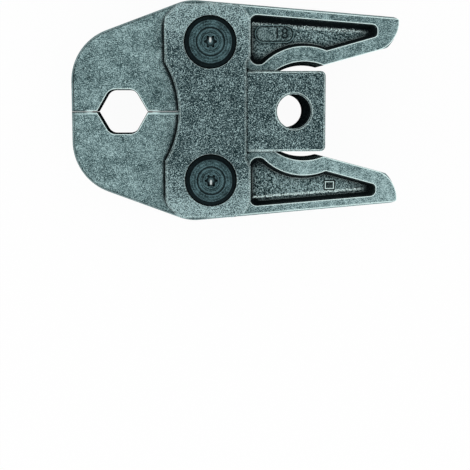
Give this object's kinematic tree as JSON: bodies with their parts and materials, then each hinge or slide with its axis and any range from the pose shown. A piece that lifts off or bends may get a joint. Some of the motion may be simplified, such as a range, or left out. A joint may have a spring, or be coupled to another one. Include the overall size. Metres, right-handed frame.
{
  "type": "press fitting tool jaw",
  "caption": "Press jaw for pipe fittings: forged levers with a hexagonal press opening turn on pins between T-shaped side plates, closed by a spring.",
  "frame": {"origin": "axis of the coupling bore, half way through the thickness of the jaw", "axes": "+X from the press opening to the lever tails, +Y across the levers to the upper one, +Z along the coupling bore and the pivot pins, out of the top side plate"},
  "size_m": [0.1386, 0.093, 0.0424],
  "materials": {
    "forged_steel": "blasted and phosphated forging with machined working faces",
    "plate_steel": "blasted and phosphated plate",
    "pin_steel": "ground",
    "blackened_steel": "turned and blackened",
    "spring_steel": "drawn spring wire"
  },
  "bodies": {
    "side_plates": {"top_side_plate": "plate_steel", "bottom_side_plate": "plate_steel", "upper_pivot_pin": "pin_steel", "lower_pivot_pin": "pin_steel", "upper_top_cap": "blackened_steel", "upper_bottom_cap": "blackened_steel", "lower_top_cap": "blackened_steel", "lower_bottom_cap": "blackened_steel", "upper_top_cap_screw": "blackened_steel", "upper_bottom_cap_screw": "blackened_steel", "lower_top_cap_screw": "blackened_steel", "lower_bottom_cap_screw": "blackened_steel", "closing_spring": "spring_steel"},
    "upper_lever": {"upper_jaw": "forged_steel"},
    "lower_lever": {"lower_jaw": "forged_steel"}
  },
  "joints": [
    {"name": "upper_jaw_pivot", "type": "hinge", "parent": "side_plates", "child": "upper_lever", "pos_m": [-0.0346, 0.0281, 0], "axis": [0, 0, -1], "range_deg": [0, 20], "stiffness_Nm_per_rad": 0.8, "springref_deg": -20.05, "deforming": ["closing_spring"]},
    {"name": "lower_jaw_pivot", "type": "hinge", "parent": "side_plates", "child": "lower_lever", "pos_m": [-0.0346, -0.0281, 0], "axis": [0, 0, 1], "range_deg": [0, 20], "stiffness_Nm_per_rad": 0.8, "springref_deg": -20.05, "deforming": ["closing_spring"]}
  ]
}
